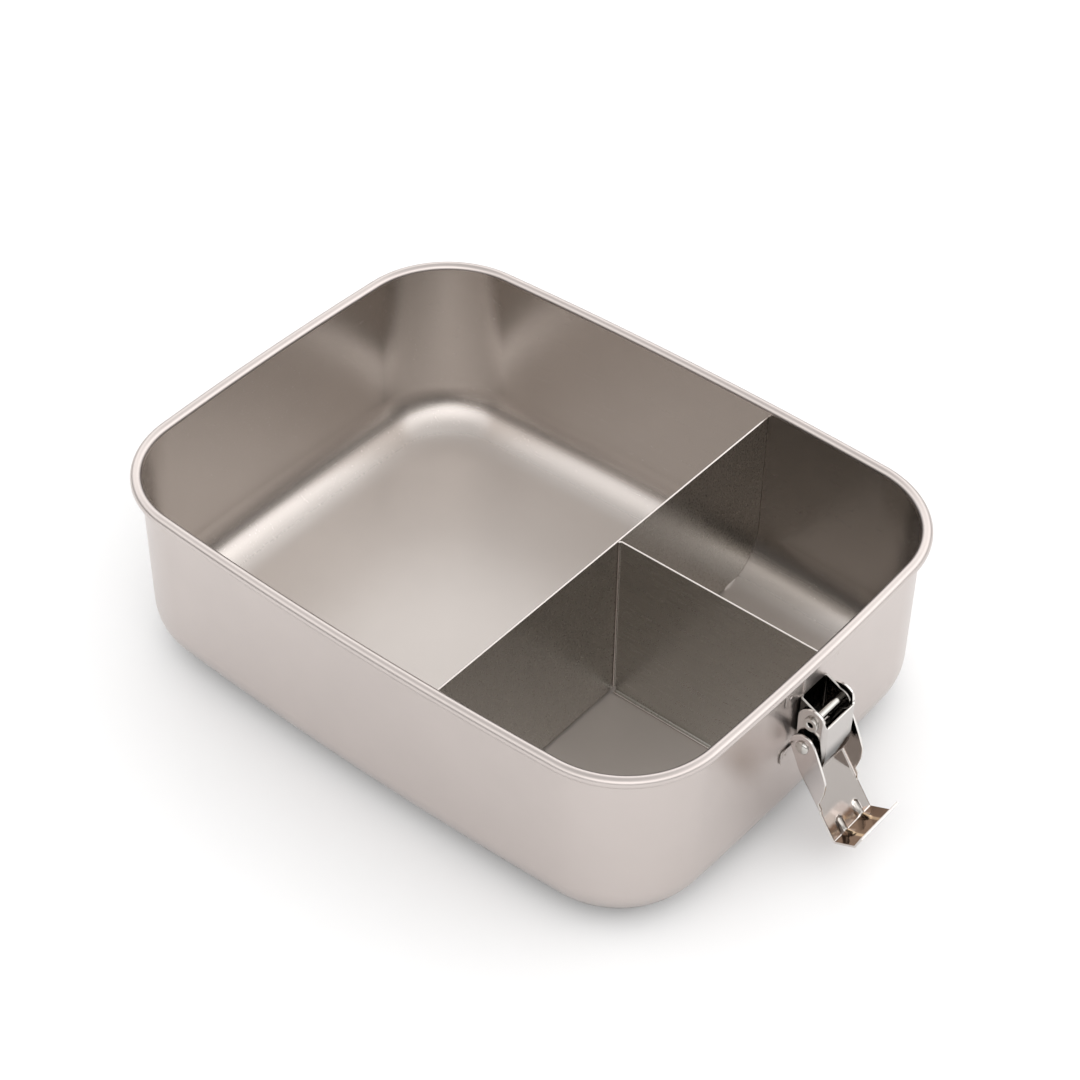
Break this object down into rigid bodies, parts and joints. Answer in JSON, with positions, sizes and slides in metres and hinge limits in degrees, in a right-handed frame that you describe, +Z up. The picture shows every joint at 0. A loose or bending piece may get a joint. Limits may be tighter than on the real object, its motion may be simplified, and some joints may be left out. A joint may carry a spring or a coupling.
{
  "type": "lunch box",
  "caption": "Open stainless steel lunch box: a deep tray with a rolled rim and fixed dividers, and on each end a hinged lever latch whose claw hook reaches over a lid's edge.",
  "frame": {"origin": "on the surface that the box stands on, under the middle of the tray", "axes": "+X along the length, from the left latch to the right one; +Y across the width, to the side away from the front; +Z up, out of the open tray"},
  "size_m": [0.2584, 0.16, 0.0645],
  "materials": {
    "satin_steel": "satin, fine matt grain",
    "polished_steel": "bright polished"
  },
  "bodies": {
    "root": {"tray": "satin_steel", "long_divider": "satin_steel", "short_divider": "satin_steel", "right_latch_base": "polished_steel", "left_latch_base": "polished_steel", "right_lever_pin": "polished_steel", "left_lever_pin": "polished_steel"},
    "right_lever": {"right_lever": "polished_steel"},
    "right_hook_pin": {"right_hook_pin": "polished_steel"},
    "right_hook": {"right_hook": "polished_steel"},
    "left_lever": {"left_lever": "polished_steel"},
    "left_hook_pin": {"left_hook_pin": "polished_steel"},
    "left_hook": {"left_hook": "polished_steel"}
  },
  "joints": [
    {"name": "right_lever_hinge", "type": "hinge", "parent": "root", "child": "right_lever", "pos_m": [0.1077, 0, 0.0463], "axis": [0, 1, 0], "range_deg": [-90, 0]},
    {"name": "right_pin_turn", "type": "hinge", "parent": "right_lever", "child": "right_hook_pin", "pos_m": [0.1068, 0, 0.0379], "axis": [0, 1, 0], "range_deg": [0, 90]},
    {"name": "right_hook_hinge", "type": "hinge", "parent": "right_hook_pin", "child": "right_hook", "pos_m": [0.1068, 0, 0.0379], "axis": [0, -1, 0], "range_deg": [0, 145]},
    {"name": "left_lever_hinge", "type": "hinge", "parent": "root", "child": "left_lever", "pos_m": [-0.1077, 0, 0.0463], "axis": [0, -1, 0], "range_deg": [-90, 0]},
    {"name": "left_pin_turn", "type": "hinge", "parent": "left_lever", "child": "left_hook_pin", "pos_m": [-0.1068, 0, 0.0379], "axis": [0, -1, 0], "range_deg": [0, 90]},
    {"name": "left_hook_hinge", "type": "hinge", "parent": "left_hook_pin", "child": "left_hook", "pos_m": [-0.1068, 0, 0.0379], "axis": [0, 1, 0], "range_deg": [0, 145]}
  ],
  "couplings": [
    {"joint": "right_pin_turn", "follows": "right_lever_hinge", "ratio": -1},
    {"joint": "left_pin_turn", "follows": "left_lever_hinge", "ratio": -1}
  ]
}
